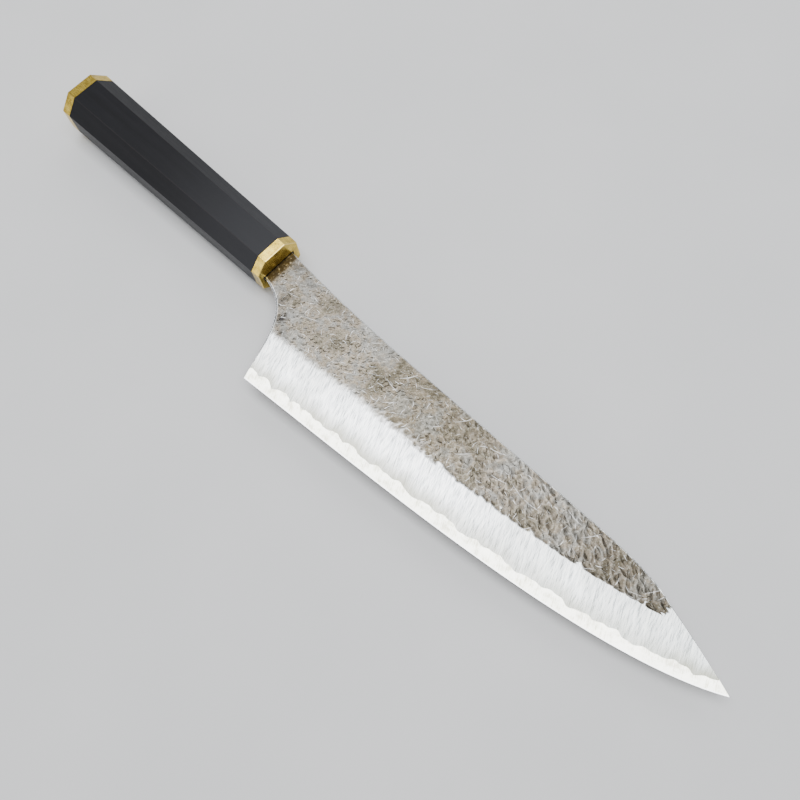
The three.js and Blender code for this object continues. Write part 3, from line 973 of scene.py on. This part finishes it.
def ebony():
    """Black wood, with a painted sheen that pales it towards the ferrule, and paler along its
    arrises.
    """
    f = Finish("ebony_finish")
    grain = f.noise(f.stretch((0.05, 1.7, 1.7)), detail=5, rough=0.65)
    streaks = f.noise(f.stretch((0.015, 0.45, 0.45), shift=(31, 7, 3)), detail=2, rough=0.5)
    pores = f.noise(f.stretch((0.35, 9.0, 9.0), shift=(3, 40, 9)), detail=2, rough=0.5)
    pore = f.fit(pores, 0.62, 0.72)
    colour = f.ramp(f.weighted((grain, 0.6), (streaks, 0.4)), EBONY_TONES)
    # A painted sheen pales the wood towards the ferrule.
    colour = f.mix(f.fit(f.along(), -125, -58, 0.0, 0.8), colour, PAINTED_SHEEN_EBONY)
    f.set(
        Base_Color=f.mix(f.times(f.value("arris"), 0.5), colour, WORN_EBONY),
        Roughness=f.math("ADD", f.fit(grain, 0.25, 0.75, 0.40, 0.52), f.times(pore, 0.15)),
        Specular_IOR_Level=0.17,
        Normal=f.bump(f.math("SUBTRACT", grain, pore), 0.012),
    )
    return f.material


def dowel_wood():
    f = Finish("dowel_wood_finish")
    grain = f.noise(f.stretch((0.06, 1.3, 1.3)), detail=4, rough=0.6)
    f.set(
        Base_Color=f.ramp(grain, DOWEL_TONES),
        Roughness=f.fit(grain, 0.3, 0.7, 0.6, 0.8),
        Normal=f.bump(grain, 0.03),
    )
    return f.material


def sealant():
    f = Finish("sealant_finish")
    lumps = f.noise(f.mm, 1.2, 4, 0.6)
    f.set(
        Base_Color=f.ramp(lumps, SEALANT_TONES),
        Roughness=f.fit(lumps, 0.3, 0.7, 0.35, 0.6),
        Normal=f.bump(lumps, 0.05),
    )
    return f.material


def pale_floor():
    f = Finish("floor_finish")
    mottle = f.noise(f.mm, 0.012, 3, 0.5)
    tooth = f.noise(f.mm, 1.5, 3, 0.6)
    f.set(
        Base_Color=f.ramp(mottle, FLOOR_TONES),
        Roughness=0.75,
        Normal=f.bump(tooth, 0.02),
    )
    return f.material


# ---- The knife ----

UPPER_GRID = {"choil_count": 130, "line_count": 620, "bevel_rows": 16, "face_rows": 94}
LOWER_GRID = {"choil_count": 90, "line_count": 420, "bevel_rows": 12, "face_rows": 60}
UPPER_SEED, LOWER_SEED = 11, 23

place = lay_down_matrix()

cladding_finish = cladding_steel()
core_finish = core_steel()
brass_finish = brass()
ebony_finish = ebony()

upper_random, lower_random = (np.random.default_rng(seed) for seed in (UPPER_SEED, LOWER_SEED))
upper = cladding("cladding_upper_fine", 1, place=place, rng=upper_random, **UPPER_GRID)
lower = cladding("cladding_lower_fine", -1, place=place, rng=lower_random, **LOWER_GRID)
hard_core = core("blade_core_fine", place)

butt = -HANDLE_LENGTH
cap_front = butt + CAP_LENGTH
wood_back = cap_front + JOINT_GAP
wood_front = -FERRULE_LENGTH - JOINT_GAP
brass_step = BRASS_END_BREAK * BRASS_END_STEP
cap_stations = [
    (butt, BRASS_END_BREAK),
    (butt + brass_step, brass_step),
    (butt + BRASS_END_BREAK, 0),
    (cap_front, 0),
]
collar_stations = [
    (-FERRULE_LENGTH, 0),
    (-BRASS_END_BREAK, 0),
    (-brass_step, brass_step),
    (0, BRASS_END_BREAK),
]
wood_stations = [
    (wood_back, WOOD_END_BREAK),
    (wood_back + WOOD_END_BREAK, 0),
    (wood_front - WOOD_END_BREAK, 0),
    (wood_front, WOOD_END_BREAK),
]
cap = octagonal_body("butt_cap_fine", cap_stations, BRASS_ARRIS, place)
collar = octagonal_body("ferrule_fine", collar_stations, BRASS_ARRIS, place)
cut_slot(collar, place)
wood = octagonal_body("handle_body_fine", wood_stations, WOOD_ARRIS, place)

looks = [
    (upper, "cladding_upper", "cladding_steel", cladding_finish),
    (lower, "cladding_lower", "cladding_steel", cladding_finish),
    (hard_core, "blade_core", "core_steel", core_finish),
    (cap, "butt_cap", "brass", brass_finish),
    (collar, "ferrule", "brass", brass_finish),
    (wood, "handle_body", "ebony", ebony_finish),
]
for obj, node, slot, finish in looks:
    obj.data.materials.clear()
    obj.data.materials.append(finish)
    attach(obj, "root")
    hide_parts(node)

# The brass fittings and their pins are the nodes that are not listed.
cad_finishes = {
    "cladding_upper": cladding_finish,
    "cladding_lower": cladding_finish,
    "blade_core": core_finish,
    "handle_body": ebony_finish,
    "core_dowel": dowel_wood(),
    "slot_seal": sealant(),
}
for name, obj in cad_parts.items():
    obj.data.materials.clear()
    obj.data.materials.append(cad_finishes.get(name, brass_finish))

# ---- Floor, light and camera ----

# Lengths of the stage are metres.
FLOOR_HALF = 12.0
FLOOR_LINES = 9
floor_mesh = bpy.data.meshes.new("floor")
steps = np.linspace(-FLOOR_HALF, FLOOR_HALF, FLOOR_LINES)
floor_points = [(x, y, 0.0) for y in steps for x in steps]
tiles = [r * FLOOR_LINES + c for r in range(FLOOR_LINES - 1) for c in range(FLOOR_LINES - 1)]
floor_faces = [(at, at + 1, at + FLOOR_LINES + 1, at + FLOOR_LINES) for at in tiles]
floor_mesh.from_pydata(floor_points, [], floor_faces)
floor_mesh.materials.append(pale_floor())
floor = bpy.data.objects.new("floor", floor_mesh)
bpy.context.scene.collection.objects.link(floor)


def area_light(name, spot, aim, size, power, colour):
    light = bpy.data.lights.new(name, "AREA")
    light.shape = "RECTANGLE"
    light.size, light.size_y = size
    light.energy = power
    light.color = colour
    obj = bpy.data.objects.new(name, light)
    bpy.context.scene.collection.objects.link(obj)
    obj.location = spot
    obj.rotation_mode = "QUATERNION"
    obj.rotation_quaternion = (Vector(aim) - Vector(spot)).to_track_quat("-Z", "Y")


# Lights: name, place, aim, width and height, watts, colour.
COOL, WARM = (0.98, 0.99, 1), (1, 0.99, 0.97)
LIGHTS = (
    ("softbox_over", (-0.02, 0.04, 1.0), (-0.02, 0.02, 0), (1.3, 0.6), 15, COOL),
    ("softbox_front", (-0.5, -1.25, 0.4), (0, 0, 0), (1.2, 0.34), 4, WARM),
    ("softbox_back", (-0.3, 1.0, 0.75), (0, 0, 0), (1.6, 0.6), 5, COOL),
)
for light in LIGHTS:
    area_light(*light)

WORLD_COLOUR, WORLD_STRENGTH = (0.80, 0.81, 0.83, 1), 0.6
world = bpy.data.worlds.new("studio")
world.use_nodes = True
background = world.node_tree.nodes["Background"]
background.inputs["Color"].default_value = WORLD_COLOUR
background.inputs["Strength"].default_value = WORLD_STRENGTH
bpy.context.scene.world = world

# Side and up are how far the ferrule lies from the view's axis, as parts of the distance along it.
CAMERA_TURN = math.radians(52.936)
CAMERA_HEIGHT = math.radians(70)
CAMERA_ROLL = math.radians(-10)
CAMERA_DISTANCE = 0.333094
CAMERA_SIDE, CAMERA_UP = -0.149901, 0.167771
LENS_MM = SENSOR_MM = 36
CAMERA_CLIP = 0.01

ahead = Vector(
    (
        -math.sin(CAMERA_TURN) * math.cos(CAMERA_HEIGHT),
        math.cos(CAMERA_TURN) * math.cos(CAMERA_HEIGHT),
        -math.sin(CAMERA_HEIGHT),
    )
)
level = Vector((math.cos(CAMERA_TURN), math.sin(CAMERA_TURN), 0))
upright = level.cross(ahead)
right = level * math.cos(CAMERA_ROLL) + upright * math.sin(CAMERA_ROLL)
up = upright * math.cos(CAMERA_ROLL) - level * math.sin(CAMERA_ROLL)
ferrule_middle = place.translation
spot = ferrule_middle - CAMERA_DISTANCE * (right * CAMERA_SIDE + up * CAMERA_UP + ahead)

camera_data = bpy.data.cameras.new("camera")
camera_data.lens = LENS_MM
camera_data.sensor_width = SENSOR_MM
camera_data.clip_start = CAMERA_CLIP
camera = bpy.data.objects.new("camera", camera_data)
bpy.context.scene.collection.objects.link(camera)
camera.matrix_world = Matrix.Translation(spot) @ Matrix((right, up, -ahead)).transposed().to_4x4()
bpy.context.scene.camera = camera
